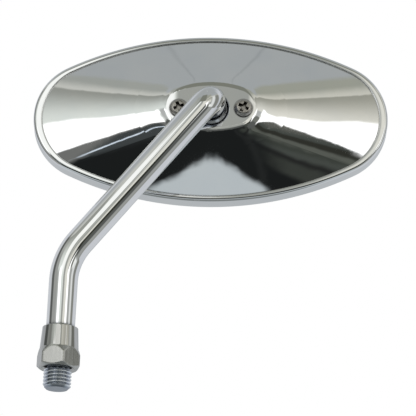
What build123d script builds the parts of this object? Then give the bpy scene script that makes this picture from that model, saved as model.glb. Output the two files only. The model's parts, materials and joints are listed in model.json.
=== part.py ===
"""Oval motorcycle mirror on a bent rod stem, with a ball joint behind the boss of its shell.

Millimetres and degrees. The origin is on the stud's axis, in the lock nut's seat face, with +Z
up the stud. The shell's back faces -Y and the glass faces +Y.
"""

import os
from math import acos, atan2, cos, degrees, radians, sin, sqrt, tan

from build123d import *

# Stem: one rod, threaded below, a knee, a sloping run and a stub that carries the ball
rod_diameter = 10.0
thread_diameter = 9.8
thread_length = 7.2
thread_end_chamfer = 1.1
relief_length = 2.0
relief_depth = 0.7
knee_height = 39.7
knee_bend_radius = 24.0
run_length = 78.6
run_lean = 37.6
top_bend_radius = 5.4
stub_length = 18.0
spigot_diameter = 6.0
spigot_end_recess = 0.6

# Lock nut: tapered collar above, hexagon below
nut_across_flats = 13.7
nut_height = 15.2
nut_collar_diameter = 12.4
nut_collar_foot_diameter = 13.5
nut_collar_length = 8.2
nut_shoulder_length = 2.6
nut_top_chamfer = 0.6
nut_seat_chamfer = 1.1
nut_seat_diameter = 13.2
nut_mouth_chamfer = 0.85
nut_turn = 45.0
nut_clearance = 0.05

# Ball joint: ball, socket in the shell, nylon cup, steel cup and clamp plate, all concentric
ball_diameter = 15.0
joint_clearance = 0.1
friction_cup_wall = 0.9
pressure_cup_wall = 0.8
cup_rim_angle = 106.0
cup_hole_angle = 160.0
plate_thickness = 1.1
plate_depth = 6.3
plate_end_radius = 4.4
plate_margin = 2.0
plate_hole_angle = 166.0

# Shell: oval flange, conical dome of shrinking ovals, boss whose ends stand out of the cone
head_spin = 2.9
rim_length = 127.0
rim_height = 62.0
rim_end_radius = 21.3
boss_length = 32.0
boss_height = 17.4
boss_end_radius = 7.6
boss_lift = 0.8
boss_face = 5.0
boss_end_slope = 30.0
boss_end_blend = 3.0
boss_edge_fillet = 4.0
cone_length = 26.0
dome_depth = 11.8
dome_bulge = 0.3
dome_shoulder = 0.7
dome_section_count = 3
boss_section_count = 4
dome_end_inset = 1.4
dome_side_inset = 0.2
shell_wall = 1.5
flange_thickness = 2.0
socket_wall = 1.6
socket_floor = 0.4
socket_lap = 0.3
stem_hole_diameter = 12.4
stem_hole_fillet = 0.4

# Rim: rolled bezel round the flange, the gasket and the glass
bezel_depth = 8.6
bezel_wall = 0.8
bezel_back_lip = 1.8
bezel_front_lip = 2.4
bezel_back_radius = 1.3
bezel_front_radius = 0.9
bezel_lip_radius = 0.3
rim_clearance = 0.2
glass_thickness = 2.8
glass_chamfer = 0.3
gasket_width = 3.2

# Clamp screws and their square nuts
screw_spacing = 23.0
screw_diameter = 3.5
screw_length = 15.0
screw_head_diameter = 6.5
screw_head_height = 1.9
screw_head_radius = 1.4
recess_width = 1.2
recess_length = 3.9
recess_core = 2.1
recess_depth = 1.4
recess_taper = 12.0
recess_turns = (20.0, -28.0)
screw_clearance = 0.2
square_nut_width = 7.0
square_nut_height = 2.2

# Places worked out from those sizes
rod_radius = rod_diameter / 2
ball_radius = ball_diameter / 2
run_rise = run_length * cos(radians(run_lean))
run_reach = run_length * sin(radians(run_lean))
top_corner = Vector(run_reach, 0, knee_height + run_rise)
ball_centre = top_corner + Vector(0, stub_length, 0)
ball_flat = sqrt(ball_radius**2 - rod_radius**2)
spigot_length = ball_flat + ball_radius - spigot_end_recess

# The head's own plane: origin at the ball's centre, Z out of the shell's back, Y up
head = Plane(
    origin=ball_centre,
    x_dir=(cos(radians(head_spin)), 0, sin(radians(head_spin))),
    z_dir=(0, -1, 0),
)
head_section = Plane(origin=ball_centre, x_dir=head.x_dir, z_dir=-head.y_dir)
stub_axis = Axis(ball_centre, head.z_dir)
stud_axis = Axis.Z

socket_radius = ball_radius + joint_clearance
friction_radius = socket_radius + friction_cup_wall
pressure_inner = friction_radius + joint_clearance
pressure_radius = pressure_inner + pressure_cup_wall
dimple_inner = pressure_radius + joint_clearance
dimple_radius = dimple_inner + plate_thickness

flange_back = boss_face - dome_depth
bezel_back = flange_back + bezel_wall
bezel_front = bezel_back - bezel_depth
flange_front = flange_back - flange_thickness
glass_front = bezel_front + bezel_wall
glass_back = glass_front + glass_thickness
gasket_thickness = flange_front - glass_back
rim_inset = bezel_wall + rim_clearance

screw_places = [(-screw_spacing / 2, 0), (screw_spacing / 2, 0)]


class Oval(BaseSketchObject):
    """Four tangent arcs: two ends of one radius and two long sides."""

    def __init__(self, length, height, end_radius, mode=Mode.ADD):
        end_centre = length / 2 - end_radius
        side_drop = (end_centre**2 - (height / 2 - end_radius) ** 2) / (height - 2 * end_radius)
        side_radius = height / 2 + side_drop
        spread = degrees(atan2(end_centre, side_drop))
        with BuildSketch() as oval:
            with BuildLine():
                CenterArc((0, -side_drop), side_radius, 90 - spread, 2 * spread)
                CenterArc((-end_centre, 0), end_radius, 90 + spread, 180 - 2 * spread)
                CenterArc((0, side_drop), side_radius, 270 - spread, 2 * spread)
                CenterArc((end_centre, 0), end_radius, spread - 90, 180 - 2 * spread)
            make_face()
        super().__init__(obj=oval.sketch, mode=mode)


class RimOval(Oval):
    """The rim's outline, moved inwards by an even distance."""

    def __init__(self, inset, mode=Mode.ADD):
        super().__init__(
            rim_length - 2 * inset, rim_height - 2 * inset, rim_end_radius - inset, mode=mode
        )


class CupSection(BaseSketchObject):
    """Half section of a spherical shell, between two angles from the stub's axis."""

    def __init__(self, inner, outer, from_angle, to_angle, mode=Mode.ADD):
        start = 90 - to_angle
        sweep_angle = to_angle - from_angle
        with BuildSketch() as cup:
            with BuildLine():
                inside = CenterArc((0, 0), inner, start, sweep_angle)
                outside = CenterArc((0, 0), outer, start, sweep_angle)
                Line(inside @ 0, outside @ 0)
                Line(inside @ 1, outside @ 1)
            make_face()
        super().__init__(obj=cup.sketch, mode=mode)


class DomeOval(Oval):
    """The dome's outline at a share of its depth: a cone's, or the boss's where that is longer."""

    def __init__(self, share, mode=Mode.ADD):
        foot_length = rim_length - 2 * (bezel_back_lip + dome_end_inset)
        foot_height = rim_height - 2 * (bezel_back_lip + dome_side_inset)
        foot_end = rim_end_radius - bezel_back_lip
        cone = foot_length + (cone_length - foot_length) * share
        flank = dome_depth * (1 - share) / tan(radians(boss_end_slope))
        length = blended_max(cone, boss_length + 2 * flank, boss_end_blend)
        height = foot_height + (boss_height - foot_height) * share
        end = foot_end + (boss_end_radius - foot_end) * share
        with Locations((0, boss_lift * share)):
            super().__init__(length, height, end, mode=mode)


def blended_max(first, second, blend):
    """The larger of two lengths, rounded off where they come close."""
    return (first + second + sqrt((first - second) ** 2 + blend**2)) / 2


def dome_height(share):
    """Height of the dome over its flange at a share of its depth: a cone with a slight bulge."""
    return dome_depth * share + 4 * dome_bulge * share * (1 - share)


def shares(start, end, count):
    """Shares of the dome's depth, evenly spaced."""
    return [start + (end - start) * step / (count - 1) for step in range(count)]


dome_lofts = [
    shares(0, dome_shoulder, dome_section_count),
    shares(dome_shoulder, 1, boss_section_count),
]

# Stem
with BuildPart() as stem:
    with BuildLine():
        FilletPolyline(
            (0, 0, relief_length),
            (0, 0, knee_height),
            top_corner,
            top_corner + Vector(0, stub_length - ball_flat, 0),
            radius=[knee_bend_radius, top_bend_radius],
        )
    with BuildSketch(Plane.XY.offset(relief_length)):
        Circle(rod_radius)
    sweep()
    with BuildSketch(Plane.XY):
        Circle(thread_diameter / 2 - relief_depth)
    extrude(amount=relief_length)
    with BuildSketch(Plane.XY):
        Circle(thread_diameter / 2)
    extrude(amount=-thread_length)
    chamfer(stem.edges().group_by(Axis.Z)[0], length=thread_end_chamfer)
    with BuildSketch(head.offset(ball_flat)):
        Circle(spigot_diameter / 2)
    extrude(amount=-spigot_length)
stem.part.label = "stem"

# Lock nut
with BuildPart() as lock_nut:
    nut_corner = nut_across_flats / 2 / cos(radians(30))
    nut_bore = rod_radius + nut_clearance
    shoulder_top = nut_height - nut_collar_length
    with BuildSketch(Plane.XZ):
        with BuildLine():
            Polyline(
                (nut_bore, nut_mouth_chamfer),
                (nut_bore + nut_mouth_chamfer, 0),
                (nut_seat_diameter / 2, 0),
                (nut_corner, nut_seat_chamfer),
                (nut_corner, shoulder_top - nut_shoulder_length),
                (nut_collar_foot_diameter / 2, shoulder_top),
                (nut_collar_diameter / 2, nut_height - nut_top_chamfer),
                (nut_bore, nut_height),
                close=True,
            )
        make_face()
    revolve(axis=stud_axis)
    with BuildSketch(Plane.XY):
        RegularPolygon(nut_across_flats / 2, 6, major_radius=False, rotation=nut_turn)
    extrude(amount=nut_height, mode=Mode.INTERSECT)
lock_nut.part.label = "lock_nut"

# Pivot ball, bored for the stem's spigot and faced where the rod's shoulder seats
with BuildPart() as pivot_ball:
    with Locations(head.location):
        Sphere(ball_radius)
    with BuildSketch(head.offset(ball_flat)):
        Circle(ball_radius)
    extrude(amount=ball_radius, mode=Mode.SUBTRACT)
    with BuildSketch(head.offset(ball_flat)):
        Circle(spigot_diameter / 2)
    extrude(amount=-ball_diameter, mode=Mode.SUBTRACT)
pivot_ball.part.label = "pivot_ball"

# Nylon cup behind the ball
with BuildPart() as friction_cup:
    with BuildSketch(head_section):
        CupSection(socket_radius, friction_radius, cup_rim_angle, cup_hole_angle)
    revolve(axis=stub_axis)
friction_cup.part.label = "friction_cup"

# Pressed steel cup behind the nylon one
with BuildPart() as pressure_cup:
    with BuildSketch(head_section):
        CupSection(pressure_inner, pressure_radius, cup_rim_angle, cup_hole_angle)
    revolve(axis=stub_axis)
pressure_cup.part.label = "pressure_cup"

# Clamp plate: an oval flange with a domed middle
with BuildPart() as clamp_plate:
    dimple_angle = degrees(acos(-plate_depth / dimple_inner))
    dimple_mouth = sqrt(dimple_radius**2 - plate_depth**2)
    with BuildSketch(head.offset(-plate_depth)):
        Oval(
            screw_spacing + 2 * plate_end_radius,
            2 * (dimple_mouth + plate_margin),
            plate_end_radius,
        )
    extrude(amount=-plate_thickness)
    with Locations(head.location):
        Sphere(dimple_inner, mode=Mode.SUBTRACT)
    with BuildSketch(head_section):
        CupSection(dimple_inner, dimple_radius, dimple_angle, plate_hole_angle)
    revolve(axis=stub_axis)
    with BuildSketch(head.offset(-plate_depth)):
        with Locations(*screw_places):
            Circle(screw_diameter / 2 + screw_clearance)
    extrude(amount=-plate_thickness, mode=Mode.SUBTRACT)
clamp_plate.part.label = "clamp_plate"

# Clamp screws, two pan heads with a cross recess
with BuildPart() as clamp_screws:
    with BuildSketch(head.offset(boss_face)):
        with Locations(*screw_places):
            Circle(screw_head_diameter / 2)
    extrude(amount=screw_head_height)
    fillet(clamp_screws.edges().group_by(stub_axis)[-1], radius=screw_head_radius)
    with BuildSketch(head.offset(boss_face)):
        with Locations(*screw_places):
            Circle(screw_diameter / 2)
    extrude(amount=-screw_length)
    with BuildSketch(head.offset(boss_face + screw_head_height)):
        for place, turn in zip(screw_places, recess_turns):
            with Locations(place):
                Rectangle(recess_length, recess_width, rotation=turn)
                Rectangle(recess_width, recess_length, rotation=turn)
                Circle(recess_core / 2)
    extrude(amount=-recess_depth, taper=recess_taper, mode=Mode.SUBTRACT)
clamp_screws.part.label = "clamp_screws"

# Square nuts under the clamp plate
with BuildPart() as clamp_nuts:
    with BuildSketch(head.offset(-plate_depth - plate_thickness)):
        with Locations(*screw_places):
            Rectangle(square_nut_width, square_nut_width)
            Circle(screw_diameter / 2, mode=Mode.SUBTRACT)
    extrude(amount=-square_nut_height)
clamp_nuts.part.label = "clamp_nuts"

# Shell
with BuildPart() as housing:
    for sections in dome_lofts:
        for share in sections:
            with BuildSketch(head.offset(flange_back + dome_height(share))):
                DomeOval(share)
        loft()
    fillet(housing.faces().sort_by(stub_axis)[-1].edges(), radius=boss_edge_fillet)
    with BuildSketch(head.offset(flange_front)):
        RimOval(rim_inset)
    extrude(amount=flange_thickness)
    for sections in dome_lofts:
        for share in sections:
            with BuildSketch(head.offset(flange_back + dome_height(share) - shell_wall)):
                DomeOval(share)
        loft(mode=Mode.SUBTRACT)
    with BuildSketch(head.offset(flange_front)):
        DomeOval(0)
    extrude(amount=flange_thickness - shell_wall, mode=Mode.SUBTRACT)
    with BuildSketch(head.offset(socket_floor)):
        Circle(socket_radius + socket_wall)
    extrude(amount=boss_face - shell_wall + socket_lap - socket_floor)
    with Locations(head.location):
        Sphere(socket_radius, mode=Mode.SUBTRACT)
    with BuildSketch(head):
        Circle(stem_hole_diameter / 2)
    extrude(amount=boss_face, mode=Mode.SUBTRACT)
    stem_hole = housing.faces().sort_by(stub_axis)[-1].inner_wires()[0]
    fillet(stem_hole.edges(), radius=stem_hole_fillet)
    with BuildSketch(head):
        with Locations(*screw_places):
            Circle(screw_diameter / 2 + screw_clearance)
    extrude(amount=boss_face, mode=Mode.SUBTRACT)
housing.part.label = "housing"

# Bezel, rolled over the glass in front and over the flange behind
with BuildPart() as bezel:
    with BuildSketch(head.offset(bezel_front)):
        RimOval(0)
    extrude(amount=bezel_depth)
    with BuildSketch(head.offset(bezel_front + bezel_wall)):
        RimOval(bezel_wall)
    extrude(amount=bezel_depth - 2 * bezel_wall, mode=Mode.SUBTRACT)
    with BuildSketch(head.offset(bezel_front)):
        RimOval(bezel_front_lip)
    extrude(amount=bezel_wall, mode=Mode.SUBTRACT)
    with BuildSketch(head.offset(bezel_back)):
        RimOval(bezel_back_lip)
    extrude(amount=-bezel_wall, mode=Mode.SUBTRACT)
    for face, outer_radius in (
        (bezel.faces().sort_by(stub_axis)[-1], bezel_back_radius),
        (bezel.faces().sort_by(stub_axis)[0], bezel_front_radius),
    ):
        fillet(face.outer_wire().edges(), radius=outer_radius)
    for face in (bezel.faces().sort_by(stub_axis)[-1], bezel.faces().sort_by(stub_axis)[0]):
        fillet(face.inner_wires()[0].edges(), radius=bezel_lip_radius)
bezel.part.label = "bezel"

# Glass
with BuildPart() as mirror_glass:
    with BuildSketch(head.offset(glass_front)):
        RimOval(rim_inset)
    extrude(amount=glass_thickness)
    chamfer(mirror_glass.edges(), length=glass_chamfer)
mirror_glass.part.label = "mirror_glass"

# Gasket between the glass and the flange
with BuildPart() as glass_gasket:
    with BuildSketch(head.offset(glass_back)):
        RimOval(rim_inset)
        RimOval(rim_inset + gasket_width, mode=Mode.SUBTRACT)
    extrude(amount=gasket_thickness)
glass_gasket.part.label = "glass_gasket"

os.makedirs("parts", exist_ok=True)
for piece in (
    stem,
    lock_nut,
    pivot_ball,
    friction_cup,
    pressure_cup,
    clamp_plate,
    clamp_screws,
    clamp_nuts,
    housing,
    bezel,
    mirror_glass,
    glass_gasket,
):
    export_step(piece.part, f"parts/{piece.part.label}.step")
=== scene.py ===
"""Looks of the oval motorcycle mirror: its chrome, its threaded stud and the studio round it.

Metres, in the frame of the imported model: the stud's axis is Z and the shell's back faces -Y.
"""

import json
from math import atan2, cos, degrees, hypot, pi, radians, sin, tan

import bmesh
import bpy
from mathutils import Matrix, Vector


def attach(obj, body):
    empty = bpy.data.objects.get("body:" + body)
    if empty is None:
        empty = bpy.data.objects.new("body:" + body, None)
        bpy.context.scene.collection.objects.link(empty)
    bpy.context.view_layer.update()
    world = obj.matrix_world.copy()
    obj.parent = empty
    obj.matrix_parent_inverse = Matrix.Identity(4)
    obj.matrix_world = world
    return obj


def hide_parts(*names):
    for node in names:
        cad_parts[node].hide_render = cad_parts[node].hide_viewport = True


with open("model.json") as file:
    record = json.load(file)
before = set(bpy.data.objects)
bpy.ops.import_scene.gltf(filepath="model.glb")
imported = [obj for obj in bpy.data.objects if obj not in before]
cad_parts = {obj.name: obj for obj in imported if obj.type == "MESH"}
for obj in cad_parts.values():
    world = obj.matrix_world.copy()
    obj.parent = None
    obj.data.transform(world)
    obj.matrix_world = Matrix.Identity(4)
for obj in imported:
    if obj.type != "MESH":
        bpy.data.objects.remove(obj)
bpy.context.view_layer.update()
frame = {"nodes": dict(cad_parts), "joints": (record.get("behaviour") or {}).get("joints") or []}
nodes = frame["nodes"]
joints = {joint["name"]: joint for joint in frame["joints"]}
scene = bpy.context.scene

mm = 0.001

# Camera: a long lens a little below the mirror
frame_pixels = 416
focal_pixels = 4000.0
sensor_width = 36.0
camera_yaw = radians(-0.37)
camera_pitch = radians(17.15)
camera_roll = radians(3.01)
camera_distance = 1.3992
camera_clip_end = 100.0
aim_point = Vector((0.0488, 0.0016, 0.0613))

# Studio: a tent that only reflections show, over a pale floor, in soft light
tent_centre = Vector((0.048, 0.0, 0.1))
tent_radius = 0.6
floor_height = -0.62
floor_size = 12.0
floor_colour = (0.88, 0.88, 0.88, 1)
floor_roughness = 0.8
soft_light = 0.7
full_white = 1.0
chrome_reflectance = 0.88

# Stem: the rod's bends, the turned relief and the thread
ball_centre = Vector(joints["head_spin"]["pos_m"])
rod_radius = 5.0 * mm
knee_height = 39.7 * mm
knee_bend_radius = 24.0 * mm
top_bend_radius = 5.4 * mm
ball_flat = 5.59 * mm
stub_start = 2.0 * mm
stub_reach = 1.05 * rod_radius
spigot_radius = 3.0 * mm
spigot_end = 6.9 * mm
relief_length = 2.0 * mm
relief_radius = 4.2 * mm
thread_length = 7.2 * mm
thread_crest = 4.9 * mm
# The radius from which the thread shows none of its painted groove shade
thread_bright = thread_crest - 0.15 * mm
thread_root = 4.15 * mm
thread_flank_share = (0.12, 0.88)
thread_pitch = 1.25 * mm
thread_end_chamfer = 1.1 * mm
rod_sides = 96
rod_step = 2.0 * mm
thread_rows_per_turn = 20

# Lock nut: its turned profile and its hexagon
nut_apothem = 6.85 * mm
nut_corner = nut_apothem / cos(radians(30))
nut_turn = radians(45.0)
nut_bore = 5.05 * mm
nut_height = 15.2 * mm
nut_mouth_chamfer = 0.85 * mm
nut_seat_radius = 6.6 * mm
nut_seat_chamfer = 1.1 * mm
nut_shoulder_foot = 4.4 * mm
nut_shoulder_top = 7.0 * mm
nut_collar_foot = 6.75 * mm
nut_collar_radius = 6.2 * mm
nut_top_chamfer = 0.6 * mm
nut_edge = 0.12 * mm
nut_sides = 240
nut_step = 0.3 * mm

# Bezel: the rim's oval of four arcs and the rolled section that runs round it
rim_length = 127.0 * mm
rim_height = 62.0 * mm
rim_end_radius = 21.3 * mm
bezel_back = -6.0 * mm
bezel_front = -14.6 * mm
bezel_wall = 0.8 * mm
bezel_back_lip = 1.8 * mm
bezel_front_lip = 2.4 * mm
bezel_back_radius = 1.3 * mm
bezel_front_radius = 0.9 * mm
bezel_lip_thickness = 0.4 * mm
bezel_lip_gap = 0.15 * mm
bezel_lip_radius = 0.3 * mm
bezel_inner_radius = 0.15 * mm
bezel_edge_radius = 0.05 * mm
bezel_step = 0.7 * mm
bezel_degree_step = 1.5

# Dome: the oval it stands on, which the bezel's lip follows
foot_length = 120.6 * mm
foot_height = 58.0 * mm
foot_end_radius = 19.5 * mm

# Boss: how its face falls off towards its ends
crown_start = 11.0 * mm
crown_end = 15.0 * mm
crown_tilt = radians(3.5)
face_end = 14.5 * mm
face_side = 7.0 * mm
face_fade = 2.5 * mm

# Finishes: the middle of a noise's range, its detail, chrome's two tones and a drawn-out grain
noise_span = (0.3, 0.7)
noise_detail = 3.0
chrome_colours = ((0.86, 0.87, 0.88), (0.9, 0.9, 0.895))
drawn_upright = (1, 1, 0.04)

# The head's axes: X along the rim, Y up the rim, Z out of the shell's back
head_hinges = ("head_tilt", "head_turn", "head_spin")
head_axes = Matrix([joints[name]["axis"] for name in head_hinges]).transposed()


def add_camera():
    """The photograph's view: yaw and pitch of the line of sight, then a roll about it."""
    level = cos(camera_pitch)
    sight = Vector((sin(camera_yaw) * level, cos(camera_yaw) * level, sin(camera_pitch)))
    right = Vector((cos(camera_yaw), -sin(camera_yaw), 0))
    up = right.cross(sight)
    turned_right = cos(camera_roll) * right + sin(camera_roll) * up
    turned_up = cos(camera_roll) * up - sin(camera_roll) * right
    data = bpy.data.cameras.new("camera")
    data.sensor_width = sensor_width
    data.lens = sensor_width * focal_pixels / frame_pixels
    data.clip_end = camera_clip_end
    camera = bpy.data.objects.new("camera", data)
    camera.matrix_world = Matrix.Translation(aim_point - camera_distance * sight) @ Matrix(
        (turned_right, turned_up, -sight)
    ).transposed().to_4x4()
    scene.collection.objects.link(camera)
    scene.camera = camera


def add_world():
    """White for what looks straight at it or mirrors it, and a plain soft light for the rest."""
    world = bpy.data.worlds.new("world")
    world.use_nodes = True
    tree = world.node_tree
    tree.nodes.clear()
    path = tree.nodes.new("ShaderNodeLightPath")
    mirrored = math_node(
        tree, "MAXIMUM", path.outputs["Is Glossy Ray"], path.outputs["Is Transmission Ray"]
    )
    seen = math_node(tree, "MAXIMUM", path.outputs["Is Camera Ray"], mirrored)
    mix = tree.nodes.new("ShaderNodeMixShader")
    tree.links.new(seen, mix.inputs["Fac"])
    for socket, strength in zip(mix.inputs[1:], (soft_light, full_white)):
        background = tree.nodes.new("ShaderNodeBackground")
        background.inputs["Color"].default_value = (1, 1, 1, 1)
        background.inputs["Strength"].default_value = strength
        tree.links.new(background.outputs[0], socket)
    output = tree.nodes.new("ShaderNodeOutputWorld")
    tree.links.new(mix.outputs[0], output.inputs["Surface"])
    scene.world = world


def add_lamp(name, place, size, power):
    data = bpy.data.lights.new(name, "AREA")
    data.shape = "DISK"
    data.size = size
    data.energy = power
    lamp = bpy.data.objects.new(name, data)
    lamp.location = place
    lamp.rotation_euler = (tent_centre - Vector(place)).to_track_quat("-Z", "Y").to_euler()
    lamp.visible_glossy = False
    scene.collection.objects.link(lamp)


# Meshes made of rings of points


def ring_mesh(name, rings, closed=False, sharp_angle=40.0):
    """Skins rings of equal count. A closed one joins its last ring to its first, an open one
    is capped at both ends."""
    around = len(rings[0])
    mesh = bpy.data.meshes.new(name)
    skin = bmesh.new()
    rows = [[skin.verts.new(point) for point in ring] for ring in rings]
    for first, second in zip(rows, rows[1:] + rows[:1] if closed else rows[1:]):
        for place in range(around):
            after = (place + 1) % around
            skin.faces.new((first[place], first[after], second[after], second[place]))
    if not closed:
        skin.faces.new(reversed(rows[0]))
        skin.faces.new(rows[-1])
    bmesh.ops.recalc_face_normals(skin, faces=skin.faces)
    for face in skin.faces:
        face.smooth = True
    skin.to_mesh(mesh)
    skin.free()
    mesh.set_sharp_from_angle(angle=radians(sharp_angle))
    piece = bpy.data.objects.new(name, mesh)
    scene.collection.objects.link(piece)
    return piece


def turn_angles(count):
    return [2 * pi * step / count for step in range(count)]


def straight_points(start, end, step):
    """Points from start up to, but without, end."""
    count = max(1, round((end - start).length / step))
    return [start.lerp(end, share / count) for share in range(count)]


def rounded_path(corners, radii, step, arc_step=2.5):
    """Points along straight runs, with an arc of its own radius at each corner between them."""
    points = []
    start = corners[0]
    for before, corner, after, radius in zip(corners, corners[1:], corners[2:], radii):
        into = (corner - before).normalized()
        out = (after - corner).normalized()
        turn = into.angle(out)
        bend_start = corner - radius * tan(turn / 2) * into
        towards_centre = (out - into.dot(out) * into).normalized()
        points += straight_points(start, bend_start, step)
        steps = max(2, round(degrees(turn) / arc_step))
        for share in range(steps):
            angle = turn * share / steps
            points.append(
                bend_start + radius * (sin(angle) * into + (1 - cos(angle)) * towards_centre)
            )
        start = corner + radius * tan(turn / 2) * out
    return points + straight_points(start, corners[-1], step) + [corners[-1]]


def tube_rings(path, radius, count):
    """Rings square to a path, carried along it without twisting."""
    rings = []
    side = Vector((1, 0, 0))
    for place, before, after in zip(path, path[:1] + path, path[1:] + path[-1:]):
        along = (after - before).normalized()
        side = (side - side.dot(along) * along).normalized()
        across = along.cross(side)
        rings.append(
            [place + radius * (cos(a) * side + sin(a) * across) for a in turn_angles(count)]
        )
    return rings


def level_ring(radius, height, count):
    """A ring round the stud's axis, whose radius may be a function of the angle."""
    size = radius if callable(radius) else lambda angle: radius
    return [Vector((size(a) * cos(a), size(a) * sin(a), height)) for a in turn_angles(count)]


def rise(value, low, high):
    """0 below low, 1 above high, smooth between them."""
    share = min(max((value - low) / (high - low), 0.0), 1.0)
    return share * share * (3 - 2 * share)


def soft_min(first, second, edge):
    """The smaller of two radii, rounded off where they meet."""
    return (first + second - hypot(first - second, edge)) / 2


# Stem


def thread_radius(angle, height):
    """A rounded right-hand ridge, cut back by a cone at each end of the thread."""
    phase = (height / thread_pitch - angle / (2 * pi)) % 1.0
    ridge = rise(abs(2 * phase - 1), *thread_flank_share)
    end_cone = thread_crest - thread_end_chamfer + (height + thread_length)
    run_out = relief_radius - height
    return min(thread_root + (thread_crest - thread_root) * ridge, end_cone, run_out)


def from_ball_axis(point):
    """Distance from the line through the ball along Y, which the stub lies on."""
    return hypot(point.x - ball_centre.x, point.z - ball_centre.z)


def make_stem():
    """One rod: the flat end, the thread, the relief, the bent rod and the spigot in the ball."""
    rows = round(thread_length / thread_pitch * thread_rows_per_turn)
    heights = [-thread_length + thread_length * row / rows for row in range(rows + 1)]
    rings = [
        level_ring(lambda angle: thread_radius(angle, height), height, rod_sides)
        for height in heights
    ]
    rings.append(level_ring(relief_radius, relief_length, rod_sides))
    top_corner = Vector((ball_centre.x, 0, ball_centre.z))
    path = rounded_path(
        [
            Vector((0, 0, relief_length)),
            Vector((0, 0, knee_height)),
            top_corner,
            ball_centre - Vector((0, ball_flat, 0)),
        ],
        [knee_bend_radius, top_bend_radius],
        rod_step,
    )
    rod_rings = tube_rings(path, rod_radius, rod_sides)
    spigot_path = [path[-1], ball_centre + Vector((0, spigot_end, 0))]
    last_ring = rod_rings[-1]
    shrink = spigot_radius / rod_radius
    for place in spigot_path:
        rod_rings.append([place + shrink * (point - path[-1]) for point in last_ring])
    piece = ring_mesh("stem_rod", rings + rod_rings)
    dress(piece, stem_chrome, thread_zinc, stub_shaded_chrome)
    for face in piece.data.polygons:
        if face.center.z < relief_length:
            face.material_index = 1
        # The stub's faces by the ball take the chrome with painted shade.
        elif face.center.y > stub_start and from_ball_axis(face.center) < stub_reach:
            face.material_index = 2
    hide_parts("stem")
    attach(piece, "stem_body")


# Lock nut


def hexagon_radius(angle):
    """The hexagon's flat at this angle, with its corners broken."""
    sixth = pi / 3
    from_flat = (angle - nut_turn) % sixth - sixth / 2
    return soft_min(nut_apothem / cos(from_flat), nut_corner - nut_edge / 2, nut_edge)


def make_nut():
    """The turned profile, cut by the hexagon where that is smaller."""
    profile = rounded_path(
        [
            Vector((nut_bore, 0, nut_height / 2)),
            Vector((nut_bore, 0, nut_mouth_chamfer)),
            Vector((nut_bore + nut_mouth_chamfer, 0, 0)),
            Vector((nut_seat_radius, 0, 0)),
            Vector((nut_corner, 0, nut_seat_chamfer)),
            Vector((nut_corner, 0, nut_shoulder_foot)),
            Vector((nut_collar_foot, 0, nut_shoulder_top)),
            Vector((nut_collar_radius, 0, nut_height - nut_top_chamfer)),
            Vector((nut_bore, 0, nut_height)),
            Vector((nut_bore, 0, nut_height / 2 + nut_step)),
        ],
        [nut_edge, nut_edge, nut_edge, 2 * nut_edge, nut_edge, nut_edge, 2 * nut_edge, nut_edge],
        nut_step,
        arc_step=15.0,
    )
    rings = [
        level_ring(
            lambda angle: soft_min(point.x, hexagon_radius(angle), nut_edge), point.z, nut_sides
        )
        for point in profile
    ]
    piece = ring_mesh("lock_nut_turned", rings, closed=True)
    dress(piece, satin, collar_chrome)
    for face in piece.data.polygons:
        face.material_index = 1 if face.center.z > nut_shoulder_top else 0
    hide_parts("lock_nut")
    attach(piece, "nut_body")


# Bezel


def oval_arcs(length, height, end_radius):
    """An oval of four arcs: its end arcs' centre, its side arcs' centre and radius, and the side
    arcs' half angle."""
    end_centre = length / 2 - end_radius
    side_centre = (end_centre**2 - (height / 2 - end_radius) ** 2) / (height - 2 * end_radius)
    return end_centre, side_centre, height / 2 + side_centre, atan2(end_centre, side_centre)


def oval_reach(length, height, end_radius, outward):
    """How far an oval reaches in a direction."""
    end_centre, side_centre, side_radius, spread = oval_arcs(length, height, end_radius)
    if abs(outward[0]) > sin(spread):
        return end_centre * abs(outward[0]) + end_radius
    return side_radius - side_centre * abs(outward[1])


def rim_stations():
    """Places round the rim as (arc's centre, arc's radius, outward direction), in the head's
    plane."""
    end_centre, side_centre, side_radius, spread = oval_arcs(rim_length, rim_height, rim_end_radius)
    arcs = [
        ((end_centre, 0), rim_end_radius, spread - pi / 2, pi - 2 * spread),
        ((0, -side_centre), side_radius, pi / 2 - spread, 2 * spread),
        ((-end_centre, 0), rim_end_radius, pi / 2 + spread, pi - 2 * spread),
        ((0, side_centre), side_radius, 3 * pi / 2 - spread, 2 * spread),
    ]
    stations = []
    for centre, radius, start, sweep in arcs:
        steps = max(round(sweep * radius / bezel_step), round(degrees(sweep) / bezel_degree_step))
        for step in range(steps):
            angle = start + sweep * step / steps
            stations.append((centre, radius, (cos(angle), sin(angle))))
    return stations


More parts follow.
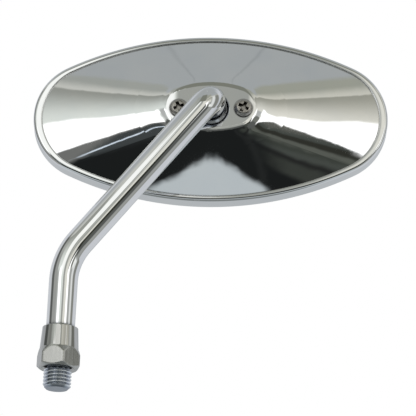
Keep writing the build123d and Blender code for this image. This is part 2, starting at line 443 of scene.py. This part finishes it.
def make_bezel():
    """A rolled section, given as inset from the rim and height, run round the oval. Its back lip
    grows wider towards the ends, where the dome's foot stands further in."""
    middle = (bezel_back + bezel_front) / 2
    back_inside = bezel_back - bezel_wall
    back = back_inside + bezel_lip_thickness
    front_inside = bezel_front + bezel_wall
    section = rounded_path(
        [
            Vector((0, 0, middle)),
            Vector((0, 0, back)),
            Vector((bezel_back_lip, 0, back)),
            Vector((bezel_back_lip, 0, back_inside)),
            Vector((bezel_wall, 0, back_inside)),
            Vector((bezel_wall, 0, front_inside)),
            Vector((bezel_front_lip, 0, front_inside)),
            Vector((bezel_front_lip, 0, bezel_front)),
            Vector((0, 0, bezel_front)),
            Vector((0, 0, middle - bezel_step)),
        ],
        [
            bezel_back_radius,
            bezel_lip_radius,
            bezel_edge_radius,
            bezel_inner_radius,
            bezel_inner_radius,
            bezel_inner_radius,
            bezel_lip_radius,
            bezel_front_radius,
        ],
        bezel_step,
        arc_step=6.0,
    )
    rings = []
    for centre, radius, outward in rim_stations():
        ring = []
        rim_reach = oval_reach(rim_length, rim_height, rim_end_radius, outward)
        foot_reach = oval_reach(foot_length, foot_height, foot_end_radius, outward)
        widening = rim_reach - foot_reach - bezel_lip_gap - bezel_back_lip
        for point in section:
            on_lip_edge = point.z > middle and point.x > bezel_back_radius + bezel_edge_radius
            reach = radius - point.x - (widening if on_lip_edge else 0)
            local = Vector(
                (centre[0] + reach * outward[0], centre[1] + reach * outward[1], point.z)
            )
            ring.append(ball_centre + head_axes @ local)
        rings.append(ring)
    piece = ring_mesh("bezel_rolled", rings, closed=True)
    dress(piece, chrome)
    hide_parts("bezel")
    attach(piece, "head")


# Studio


def shown(red, green, blue):
    """Light that chrome shows as this screen colour, from 0 to 255."""
    linear = [((part / 255 + 0.055) / 1.055) ** 2.4 for part in (red, green, blue)]
    return Vector(linear) / chrome_reflectance


# Colours of the tent's parts, as the chrome shows them
ceiling_grey = shown(157, 161, 162)
ceiling_seam = shown(147, 151, 152)
upper_wall_left = shown(152, 155, 150)
upper_wall_right = shown(150, 152, 142)
upper_wall_far = shown(160, 164, 166)
ledge_left = shown(189, 190, 184)
ledge_right = shown(194, 193, 183)
wall_top_left = shown(142, 144, 138)
wall_top_right = shown(148, 148, 138)
wall_foot_left = shown(214, 219, 214)
wall_foot_right = shown(216, 215, 206)
outer_wall = shown(176, 178, 176)
far_wall = shown(149, 151, 148)
low_wall = shown(84, 86, 84)
window_white = shown(255, 255, 255) * 1.3
strip_white = shown(246, 247, 244)
camera_side = shown(152, 154, 149)
camera_dark = shown(118, 120, 111)
post_grey = shown(112, 114, 108)
left_cloth_sheen = shown(108, 109, 107)
left_cloth = shown(60, 64, 65)
cloth_hem = shown(90, 91, 86)
cloth_fold = shown(46, 47, 42)
cloth_sheen = shown(85, 88, 82)
cloth_crease = shown(58, 62, 57)
cloth_rib = shown(67, 71, 67)
cloth_dark_crease = shown(36, 37, 36)
cloth_low = shown(55, 58, 54)
cloth_black = shown(26, 28, 28)
cable_glint = shown(224, 236, 248)
side_left = shown(86, 88, 87)
side_right = shown(126, 127, 122)
side_window = shown(214, 216, 214)
back_grey = shown(194, 197, 202)
back_wall = shown(174, 178, 181)
table_grey = shown(178, 185, 188)
table_shade = shown(118, 122, 122)

# Places of the tent's parts, in degrees. Azimuth 0 is the camera's side, -Y, and grows towards +X.
# A reach is the azimuth to either side, and a height is an elevation.
# A fade is (start, end), an edge is (place, softness) and a span is (start, end, softness).
left_to_right_fade = (-12, 12)

# Ceiling, upper wall and the bright ledge under them, which climbs away from the camera
ceiling_fade = (50, 60)
ceiling_seams = (-9.4, 6.6)
seam_width = 0.3
seam_fade = (66, 74)
upper_wall_far_fade = (45, 60)
ledge_height = 31.0
ledge_slope = 0.55
ledge_reach = 32
ledge_slope_start = 30
ledge_slope_end = 46
ledge_glow_height = 4.5
ledge_glow_fade = (20, 28)
ledge_lip = 0.2
ledge_softness = 0.5
wall_foot_height = 13
wall_shade_fade = (20, 30)

# Walls outside the windows
outer_wall_fade = (40, 43)
outer_wall_edge = (13, 2)
outer_to_far_fade = (42, 56)
far_wall_fade = (52, 58)
far_wall_edge = (29, 7)
low_wall_edge = (-10, 2.0)

# White windows on both sides of the camera, with uneven tops
window_start_left = 22
window_start_right = 26
window_end = 37.8
window_end_step = 2
window_step_fade = (5, 8)
window_side_softness = 2.0
window_top = 13.2
window_top_softness = 1.1
window_top_reach = 32
window_right_slope = 0.6
window_ripple = 0.5
window_ripple_rate = 0.9

# A strip light left of the camera, which stands on a wider foot
strip_span = (-29, -6, 2.0)
strip_start = 12
strip_end_near = 26
strip_end_far = 32
strip_end_fade = (15, 22)
strip_softness = 2
foot_span = (-24, 0.5, 1.5)
foot_heights = (10.5, 16.6, 1.0)

# The camera's own side, between the windows, and the dark above it
camera_start_low = -6
camera_start_high = -4
camera_start_fade = (16, 18)
camera_end = 7
camera_softness = 2.0
camera_heights = (5, 31, 2)
camera_low_span = (-8, 13, 2.5)
camera_low_edge = (5, 2)
dark_span = (-20, 22, 5)
dark_start_left = 28
dark_start_right = 24
dark_end = 62
dark_softness = 2

# A dark post at the right window's end and a white card beyond it
post_span = (38.8, 50, 0.8)
post_heights = (-12, 2.0, 1.0)
card_span = (52, 76, 1.5)
card_heights = (-9, 1, 2)

# Dark cloths under the windows, whose tops slant down from a point (reach, height) to a side
left_cloth_point = (26.9, 0.6)
left_cloth_slope = 1.25
left_cloth_limit = 3.0
right_cloth_point = (28.75, 5.6)
right_cloth_slope = 1.74
right_cloth_limit = 6.0
cloth_top_softness = 1.0
cloth_start_left = 19
cloth_start_right = 25.5
cloth_start_step = 4.5
cloth_step_edge = (-6, 1.5)
cloth_end = 36
cloth_side_softness = 1.5
left_sheen_fade = (28.5, 31.5)
left_hem_edge = (2, 1.5)
left_cloth_edge = (-24, 4)
cloth_black_edge = (-25, 4)
cloth_black_fade = (36, 44)
right_folds_fade = (19, 27)

# The right cloth's folds from its top down, as (height, colour)
right_folds = (
    (2.0, cloth_hem),
    (-5.5, cloth_rib),
    (-8.5, cloth_fold),
    (-12.5, cloth_fold),
    (-17.0, cloth_sheen),
    (-20.5, cloth_sheen),
    (-24.0, cloth_crease),
    (-26.5, cloth_rib),
    (-29.0, cloth_dark_crease),
    (-31.5, cloth_low),
    (-34.5, cloth_low),
    (-37.0, cloth_black),
)

# A glint along a cable on the left cloth
glint_azimuth = -25.2
glint_height = -7
glint_slope = 0.42
glint_half_width = 0.5
glint_softness = 0.4
glint_heights = (-19, -6, 2)

# Right side window, dark strips at both sides, and the light grey behind the mirror
side_window_span = (60, 78, 4)
side_window_heights = (-8, 40, 5)
side_start = 80
side_start_low_right = 77
side_end = 102
side_end_low_right = 82
side_low_edge = (-12, 3)
side_softness = 3
side_heights = (-34, 42, 6)
back_overlap = 1
back_softness = 7
back_fade = (40, 70)
back_wall_fade = (145, 165)

# The table, whose far edge sags to both sides and is ragged: (size, rate, phase) of each ripple
table_height = -42.0
table_middle = 8
table_sag = 0.0065
table_sag_limit = 2.2
table_ripples = ((0.05, 2.3, 0), (0.15, 0.97, 1))
table_softness = 1.1
table_shade_edge = (-58, 5)

# The tent's mesh, as (angle, spacing from there on): fine where the shell mirrors it
azimuth_stops = ((-180, 3), (-48, 0.5), (48, 3), (180, 3))
elevation_stops = ((-89, 3), (-50, 0.5), (45, 1.5), (66, 0.5), (87, 2), (89, 2))


def band(value, low, high, soft):
    """1 between low and high, with soft edges."""
    return rise(value, low - soft, low + soft) * (1 - rise(value, high - soft, high + soft))


def below(value, edge, soft):
    """1 under an edge, 0 over it."""
    return 1 - rise(value, edge - soft, edge + soft)


def blend(first, second, share):
    return first + (second - first) * share


def wall_colour(azimuth, elevation, right):
    """Ceiling with its seams, upper wall, the ledge that ends it, and the wall under it."""
    reach = abs(azimuth)
    upper = upper_wall_left.lerp(upper_wall_right, right)
    upper = upper.lerp(upper_wall_far, rise(reach, *upper_wall_far_fade))
    colour = upper.lerp(ceiling_grey, rise(elevation, *ceiling_fade))
    across = (90 - elevation) * sin(radians(azimuth))
    for seam in ceiling_seams:
        on_seam = band(across, seam - seam_width, seam + seam_width, seam_width)
        colour = colour.lerp(ceiling_seam, on_seam * rise(elevation, *seam_fade))
    climb = min(max(reach, ledge_slope_start), ledge_slope_end) - ledge_reach
    ledge = ledge_height + ledge_slope * climb
    glow = ledge_left.lerp(ledge_right, right)
    near_ledge = below(elevation, ledge + ledge_glow_height, ledge_glow_height)
    colour = colour.lerp(glow, rise(reach, *ledge_glow_fade) * near_ledge)
    wall_top = wall_top_left.lerp(wall_top_right, right)
    wall_foot = wall_foot_left.lerp(wall_foot_right, right)
    shade = rise(elevation, wall_foot_height, ledge) * rise(reach, *wall_shade_fade)
    wall = wall_foot.lerp(wall_top, shade)
    return colour.lerp(wall, below(elevation, ledge - ledge_lip, ledge_softness))


def with_outer_walls(colour, azimuth, elevation, right):
    reach = abs(azimuth)
    outer = outer_wall.lerp(far_wall, rise(reach, *outer_to_far_fade))
    outer_share = rise(reach, *outer_wall_fade) * below(elevation, *outer_wall_edge)
    far_share = rise(reach, *far_wall_fade) * below(elevation, *far_wall_edge)
    return colour.lerp(outer, outer_share).lerp(far_wall, far_share)


def with_windows(colour, azimuth, elevation, right):
    reach = abs(azimuth)
    slope = right * window_right_slope * (reach - window_top_reach)
    top = window_top + slope + window_ripple * sin(window_ripple_rate * reach)
    start = blend(window_start_left, window_start_right, right)
    end = window_end + window_end_step * rise(elevation, *window_step_fade)
    across = band(reach, start, end, window_side_softness)
    return colour.lerp(window_white, across * below(elevation, top, window_top_softness))


def strip_foot_share(azimuth, elevation):
    return band(azimuth, *foot_span) * band(elevation, *foot_heights)


def with_strip_light(colour, azimuth, elevation, right):
    end = blend(strip_end_near, strip_end_far, rise(-azimuth, *strip_end_fade))
    strip = band(azimuth, *strip_span) * band(elevation, strip_start, end, strip_softness)
    return colour.lerp(strip_white, max(strip, strip_foot_share(azimuth, elevation)))


def with_camera_side(colour, azimuth, elevation, right):
    start = blend(camera_start_low, camera_start_high, rise(elevation, *camera_start_fade))
    middle = band(azimuth, start, camera_end, camera_softness) * band(elevation, *camera_heights)
    middle *= 1 - rise(strip_foot_share(azimuth, elevation), 0, 1)
    low = band(azimuth, *camera_low_span) * below(elevation, *camera_low_edge)
    dark_start = blend(dark_start_left, dark_start_right, right)
    dark = band(azimuth, *dark_span) * band(elevation, dark_start, dark_end, dark_softness)
    return colour.lerp(camera_side, max(middle, low)).lerp(camera_dark, dark)


def with_post_and_card(colour, azimuth, elevation, right):
    post = band(azimuth, *post_span) * band(elevation, *post_heights)
    card = band(azimuth, *card_span) * band(elevation, *card_heights)
    return colour.lerp(post_grey, post).lerp(strip_white, card)


def cloth_top(reach, point, slope, limit):
    return min(point[1] - slope * (reach - point[0]), limit)


def fold_colour(elevation):
    """The right cloth's colour at a height."""
    for (upper, first), (lower, second) in zip(right_folds, right_folds[1:]):
        if elevation > lower:
            return first.lerp(second, rise(upper - elevation, 0, upper - lower))
    return right_folds[-1][1]


def cloth_colour(reach, elevation, depth, right):
    """The left cloth is plain with a light hem and end, and the right one hangs in folds."""
    sheen = max(rise(reach, *left_sheen_fade), below(depth, *left_hem_edge))
    left = left_cloth.lerp(left_cloth_sheen, sheen)
    left = left.lerp(cloth_black, below(elevation, *left_cloth_edge))
    folds = cloth_black.lerp(fold_colour(elevation), rise(reach, *right_folds_fade))
    return left.lerp(folds, right)


def with_cloths(colour, azimuth, elevation, right):
    """The low wall, the cloths in front of it, the cable's glint, and the black under them."""
    reach = abs(azimuth)
    low = low_wall.lerp(far_wall, rise(reach, *far_wall_fade))
    colour = colour.lerp(low, below(elevation, *low_wall_edge))
    left_top = cloth_top(reach, left_cloth_point, left_cloth_slope, left_cloth_limit)
    right_top = cloth_top(reach, right_cloth_point, right_cloth_slope, right_cloth_limit)
    top = blend(left_top, right_top, right)
    start = blend(cloth_start_left, cloth_start_right, right)
    start -= cloth_start_step * right * below(elevation, *cloth_step_edge)
    across = band(reach, start, cloth_end, cloth_side_softness)
    cloth = cloth_colour(reach, elevation, top - elevation, right)
    colour = colour.lerp(cloth, below(elevation, top, cloth_top_softness) * across)
    glint = glint_azimuth + glint_slope * (elevation - glint_height)
    on_glint = band(azimuth, glint - glint_half_width, glint + glint_half_width, glint_softness)
    along_glint = band(elevation, *glint_heights) * (1 - right)
    colour = colour.lerp(cable_glint, on_glint * along_glint)
    black = below(elevation, *cloth_black_edge) * (1 - rise(reach, *cloth_black_fade))
    return colour.lerp(cloth_black, black * (1 - right * rise(reach, *right_folds_fade)))


def with_sides(colour, azimuth, elevation, right):
    reach = abs(azimuth)
    window = band(reach, *side_window_span) * band(elevation, *side_window_heights) * right
    colour = colour.lerp(side_window, window)
    low_right = right * below(elevation, *side_low_edge)
    start = blend(side_start, side_start_low_right, low_right)
    end = blend(side_end, side_end_low_right, low_right)
    strip = band(reach, start, end, side_softness) * band(elevation, *side_heights)
    colour = colour.lerp(side_left.lerp(side_right, right), strip)
    back = back_grey.lerp(back_wall, rise(reach, *back_wall_fade))
    back_share = rise(reach, end - back_overlap, end + back_softness)
    return colour.lerp(back, back_share * (1 - rise(elevation, *back_fade)))


def with_table(colour, azimuth, elevation, right):
    ragged = sum(size * sin(rate * azimuth + phase) for size, rate, phase in table_ripples)
    sag = min(table_sag * (azimuth - table_middle) ** 2, table_sag_limit)
    table = table_grey.lerp(table_shade, below(elevation, *table_shade_edge))
    return colour.lerp(table, below(elevation, table_height - sag + ragged, table_softness))


tent_parts = (
    with_outer_walls,
    with_windows,
    with_strip_light,
    with_camera_side,
    with_post_and_card,
    with_cloths,
    with_sides,
    with_table,
)


def tent_colour(azimuth, elevation):
    """The tent's light in one direction: the walls, with each part laid over those before it."""
    right = rise(azimuth, *left_to_right_fade)
    colour = wall_colour(azimuth, elevation, right)
    for with_part in tent_parts:
        colour = with_part(colour, azimuth, elevation, right)
    return colour


def direction(azimuth, elevation):
    level = cos(radians(elevation))
    return Vector(
        (
            sin(radians(azimuth)) * level,
            -cos(radians(azimuth)) * level,
            sin(radians(elevation)),
        )
    )


def spaced(stops):
    """Angles from the first stop to the last."""
    angles = []
    for (start, spacing), (end, _) in zip(stops, stops[1:]):
        count = round((end - start) / spacing)
        angles += [start + (end - start) * step / count for step in range(count)]
    return angles + [stops[-1][0]]


def tent_material():
    """Shows the tent's vertex colours at the strength they are written in."""
    material = bpy.data.materials.new("tent")
    material.use_nodes = True
    tree = material.node_tree
    tree.nodes.clear()
    shade = tree.nodes.new("ShaderNodeVertexColor")
    shade.layer_name = "shade"
    glow = tree.nodes.new("ShaderNodeEmission")
    tree.links.new(shade.outputs["Color"], glow.inputs["Color"])
    output = tree.nodes.new("ShaderNodeOutputMaterial")
    tree.links.new(glow.outputs[0], output.inputs["Surface"])
    return material


def add_tent():
    """A sphere round the mirror that only reflections show."""
    azimuths = spaced(azimuth_stops)
    elevations = spaced(elevation_stops)
    wide = len(azimuths)
    points = []
    colours = []
    for elevation in elevations:
        for azimuth in azimuths:
            points.append(tent_centre + tent_radius * direction(azimuth, elevation))
            colours += (*tent_colour(azimuth, elevation), 1.0)
    faces = [
        (r * wide + c, r * wide + c + 1, (r + 1) * wide + c + 1, (r + 1) * wide + c)
        for r in range(len(elevations) - 1)
        for c in range(wide - 1)
    ]
    mesh = bpy.data.meshes.new("tent")
    mesh.from_pydata(points, [], faces)
    layer = mesh.color_attributes.new("shade", "FLOAT_COLOR", "POINT")
    layer.data.foreach_set("color", colours)
    mesh.materials.append(tent_material())
    tent = bpy.data.objects.new("tent", mesh)
    scene.collection.objects.link(tent)
    tent.visible_camera = False
    tent.visible_diffuse = False
    tent.visible_transmission = False
    tent.visible_shadow = False


def add_floor():
    half = floor_size / 2
    mesh = bpy.data.meshes.new("floor")
    corners = ((-half, -half), (half, -half), (half, half), (-half, half))
    mesh.from_pydata([(x, y, floor_height) for x, y in corners], [], [(0, 1, 2, 3)])
    material = bpy.data.materials.new("floor")
    material.use_nodes = True
    surface = material.node_tree.nodes["Principled BSDF"]
    surface.inputs["Base Color"].default_value = floor_colour
    surface.inputs["Roughness"].default_value = floor_roughness
    mesh.materials.append(material)
    floor = bpy.data.objects.new("floor", mesh)
    scene.collection.objects.link(floor)


# Materials


def feed(tree, value, socket):
    """Links another node's output to a socket, or writes a plain value on it."""
    if isinstance(value, bpy.types.NodeSocket):
        tree.links.new(value, socket)
    else:
        socket.default_value = value


def math_node(tree, operation, *values):
    node = tree.nodes.new("ShaderNodeMath")
    node.operation = operation
    for value, socket in zip(values, node.inputs):
        feed(tree, value, socket)
    return node.outputs["Value"]


def vector_node(tree, operation, *values):
    """A vector operation. A length or a dot product gives a number, the others give a vector."""
    node = tree.nodes.new("ShaderNodeVectorMath")
    node.operation = operation
    for value, socket in zip(values, node.inputs):
        feed(tree, value, socket)
    return node.outputs["Value" if operation in ("LENGTH", "DOT_PRODUCT") else "Vector"]


def object_place(tree):
    return tree.nodes.new("ShaderNodeTexCoord").outputs["Object"]


def noise(tree, scale, stretch):
    """Noise in object space, in metres. A small stretch along an axis draws it out along it."""
    mapping = tree.nodes.new("ShaderNodeMapping")
    mapping.inputs["Scale"].default_value = stretch
    tree.links.new(object_place(tree), mapping.inputs["Vector"])
    texture = tree.nodes.new("ShaderNodeTexNoise")
    texture.inputs["Scale"].default_value = scale
    texture.inputs["Detail"].default_value = noise_detail
    tree.links.new(mapping.outputs["Vector"], texture.inputs["Vector"])
    return texture.outputs["Fac"]


def colour_between(tree, value, colours):
    ramp = tree.nodes.new("ShaderNodeValToRGB")
    for stop, place, colour in zip(ramp.color_ramp.elements, noise_span, colours):
        stop.position = place
        stop.color = (*colour, 1)
    tree.links.new(value, ramp.inputs["Fac"])
    return ramp.outputs["Color"]


def map_range(tree, value, source, target, shape="LINEAR"):
    span = tree.nodes.new("ShaderNodeMapRange")
    span.interpolation_type = shape
    for name, number in zip(("From Min", "From Max", "To Min", "To Max"), (*source, *target)):
        span.inputs[name].default_value = number
    tree.links.new(value, span.inputs["Value"])
    return span.outputs["Result"]


def smooth_step(tree, value, source, target):
    return map_range(tree, value, source, target, "SMOOTHSTEP")


def relief(tree, value, depth):
    bump = tree.nodes.new("ShaderNodeBump")
    bump.inputs["Strength"].default_value = 1.0
    bump.inputs["Distance"].default_value = depth
    tree.links.new(value, bump.inputs["Height"])
    return bump.outputs["Normal"]


def finish_material(name, metallic, colours, roughness, grain, wave, stretch=(1, 1, 1)):
    """A procedural finish. Colour and roughness vary with a grain of one scale, and the relief
    with a wave of (scale, depth)."""
    material = bpy.data.materials.new(name)
    material.use_nodes = True
    tree = material.node_tree
    surface = tree.nodes["Principled BSDF"]
    surface.inputs["Metallic"].default_value = metallic
    speck = noise(tree, grain, stretch)
    tree.links.new(colour_between(tree, speck, colours), surface.inputs["Base Color"])
    tree.links.new(map_range(tree, speck, noise_span, roughness), surface.inputs["Roughness"])
    wave_scale, wave_depth = wave
    waves = relief(tree, noise(tree, wave_scale, stretch), wave_depth)
    tree.links.new(waves, surface.inputs["Normal"])
    return material


def fade_colour(material, dark, open_share):
    """Turns a material's colour into a dark one, a painted shade, where the share falls to 0."""
    tree = material.node_tree
    base = tree.nodes["Principled BSDF"].inputs["Base Color"]
    plain = base.links[0].from_socket
    shade = tree.nodes.new("ShaderNodeMix")
    shade.data_type = "RGBA"
    tree.links.new(open_share, shade.inputs["Factor"])
    shade.inputs["A"].default_value = (*dark, 1)
    tree.links.new(plain, shade.inputs["B"])
    tree.links.new(shade.outputs["Result"], base)


def paint_hollow_shade(material, dark, distance, openness, local):
    """Paints shade into a material's colour: fades it to a dark one where other surfaces stand
    close.
    """
    tree = material.node_tree
    hollow = tree.nodes.new("ShaderNodeAmbientOcclusion")
    hollow.inputs["Distance"].default_value = distance
    hollow.only_local = local
    fade_colour(material, dark, smooth_step(tree, hollow.outputs["AO"], openness, (0.0, 1.0)))


def paint_root_shade(material, dark, radii):
    """Paints shade into a material's colour: fades it to a dark one towards the stud's axis, into
    the grooves and over the flat end.
    """
    tree = material.node_tree
    level = vector_node(tree, "MULTIPLY", object_place(tree), (1, 1, 0))
    reach = vector_node(tree, "LENGTH", level)
    fade_colour(material, dark, smooth_step(tree, reach, radii, (0.0, 1.0)))


def distance_along(tree, axis):
    """Signed distance from the ball along one of the head's axes."""
    offset = vector_node(tree, "SUBTRACT", object_place(tree), ball_centre)
    return vector_node(tree, "DOT_PRODUCT", offset, axis)


def crown_boss(material):
    """Shades the boss's face as slightly domed towards its ends, which pressed sheet always is."""
    tree = material.node_tree
    along_axis, up_axis = head_axes.col[0], head_axes.col[1]
    along = distance_along(tree, along_axis)
    out = math_node(tree, "ABSOLUTE", along)
    up = math_node(tree, "ABSOLUTE", distance_along(tree, up_axis))
    fall = smooth_step(tree, out, (crown_start, crown_end), (0.0, crown_tilt))
    inside = smooth_step(tree, out, (face_end, face_end + face_fade), (1.0, 0.0))
    on_face = smooth_step(tree, up, (face_side, face_side + face_fade), (1.0, 0.0))
    amount = math_node(tree, "SIGN", along)
    for factor in (fall, inside, on_face):
        amount = math_node(tree, "MULTIPLY", amount, factor)
    tilt = vector_node(tree, "SCALE", along_axis)
    tree.links.new(amount, tilt.node.inputs["Scale"])
    turned = tree.nodes.new("ShaderNodeVectorTransform")
    turned.vector_type = "VECTOR"
    turned.convert_from = "OBJECT"
    turned.convert_to = "WORLD"
    tree.links.new(tilt, turned.inputs["Vector"])
    flat = tree.nodes.new("ShaderNodeNewGeometry").outputs["Normal"]
    domed = vector_node(tree, "ADD", flat, turned.outputs["Vector"])
    waves = tree.nodes["Principled BSDF"].inputs["Normal"].links[0].from_node
    tree.links.new(vector_node(tree, "NORMALIZE", domed), waves.inputs["Normal"])


def dress(piece, *finishes):
    piece.data.materials.clear()
    for material in finishes:
        piece.data.materials.append(material)


chrome = finish_material(
    "chrome",
    metallic=1.0,
    colours=chrome_colours,
    roughness=(0.02, 0.05),
    grain=120,
    wave=(60, 1e-5),
)
shell_chrome = finish_material(
    "shell_chrome",
    metallic=1.0,
    colours=chrome_colours,
    roughness=(0.015, 0.045),
    grain=90,
    wave=(48, 5e-5),
)
satin = finish_material(
    "satin_chrome",
    metallic=1.0,
    colours=((0.48, 0.48, 0.46), (0.58, 0.58, 0.56)),
    roughness=(0.22, 0.34),
    grain=1400,
    wave=(1400, 0.6e-5),
    stretch=drawn_upright,
)
collar_chrome = finish_material(
    "collar_chrome",
    metallic=1.0,
    colours=((0.44, 0.44, 0.425), (0.64, 0.64, 0.62)),
    roughness=(0.03, 0.08),
    grain=600,
    wave=(900, 0.4e-5),
    stretch=drawn_upright,
)
# A dark blue-grey copy of the rod's chrome: painted shade for the stub where it enters the boss's
# hole.
stub_shaded_chrome = finish_material(
    "stub_shaded_chrome",
    metallic=1.0,
    colours=((0.28, 0.31, 0.38), (0.34, 0.37, 0.44)),
    roughness=(0.05, 0.1),
    grain=700,
    wave=(700, 1e-6),
)
thread_zinc = finish_material(
    "thread_zinc",
    metallic=1.0,
    colours=((0.8, 0.83, 0.87), (0.88, 0.91, 0.95)),
    roughness=(0.16, 0.26),
    grain=700,
    wave=(700, 1e-6),
)
pressed_steel = finish_material(
    "pressed_steel",
    metallic=1.0,
    colours=((0.5, 0.5, 0.5), (0.62, 0.62, 0.6)),
    roughness=(0.3, 0.45),
    grain=400,
    wave=(700, 1e-5),
)
nylon = finish_material(
    "nylon",
    metallic=0.0,
    colours=((0.74, 0.72, 0.66), (0.8, 0.78, 0.72)),
    roughness=(0.4, 0.5),
    grain=300,
    wave=(900, 1e-5),
)
rubber = finish_material(
    "rubber",
    metallic=0.0,
    colours=((0.018, 0.018, 0.019), (0.03, 0.03, 0.03)),
    roughness=(0.6, 0.75),
    grain=500,
    wave=(1500, 2e-5),
)
silvered = finish_material(
    "silvered_glass",
    metallic=1.0,
    colours=((0.84, 0.87, 0.87), (0.87, 0.89, 0.89)),
    roughness=(0.0, 0.02),
    grain=30,
    wave=(15, 1e-6),
)
screw_steel = finish_material(
    "screw_steel",
    metallic=1.0,
    colours=((0.4, 0.38, 0.35), (0.52, 0.5, 0.47)),
    roughness=(0.22, 0.36),
    grain=900,
    wave=(1500, 8e-6),
)
stem_chrome = finish_material(
    "stem_chrome",
    metallic=1.0,
    colours=chrome_colours,
    roughness=(0.02, 0.05),
    grain=120,
    wave=(60, 1e-5),
)
# Painted shade in the thread's grooves and on its flat end, darker towards the stud's axis.
paint_root_shade(thread_zinc, dark=(0.34, 0.37, 0.42), radii=(thread_root, thread_bright))
# Painted shade in the screw heads' cross recesses: their colour turns near black where the recess
# walls stand close.
paint_hollow_shade(
    screw_steel, dark=(0.03, 0.025, 0.02), distance=1.2 * mm, openness=(0.4, 0.85), local=True
)
# Painted shade on the stem's chrome and the pivot ball: dark blue-grey where other surfaces stand
# within 9 mm, mostly the stub in the boss's hole.
paint_hollow_shade(
    stem_chrome, dark=(0.06, 0.07, 0.1), distance=9.0 * mm, openness=(0.55, 0.95), local=False
)
# Painted shade on the shell's chrome where other surfaces stand within 0.8 mm: at the screw heads,
# in the stub's hole and under the bezel's lip.
paint_hollow_shade(
    shell_chrome, dark=(0.1, 0.1, 0.1), distance=0.8 * mm, openness=(0.5, 0.9), local=False
)
crown_boss(shell_chrome)

materials = {
    "pivot_ball": stem_chrome,
    "housing": shell_chrome,
    "clamp_screws": screw_steel,
    "clamp_nuts": pressed_steel,
    "clamp_plate": pressed_steel,
    "pressure_cup": pressed_steel,
    "friction_cup": nylon,
    "mirror_glass": silvered,
    "glass_gasket": rubber,
}
for node, material in materials.items():
    dress(nodes[node], material)
make_stem()
make_nut()
make_bezel()

add_camera()
add_world()
add_tent()
add_floor()
add_lamp("key_lamp", place=(-0.8, -1.2, 1.6), size=1.2, power=20)
add_lamp("fill_lamp", place=(1.2, 0.9, 1.4), size=1.2, power=12)
scene.view_settings.view_transform = "Standard"
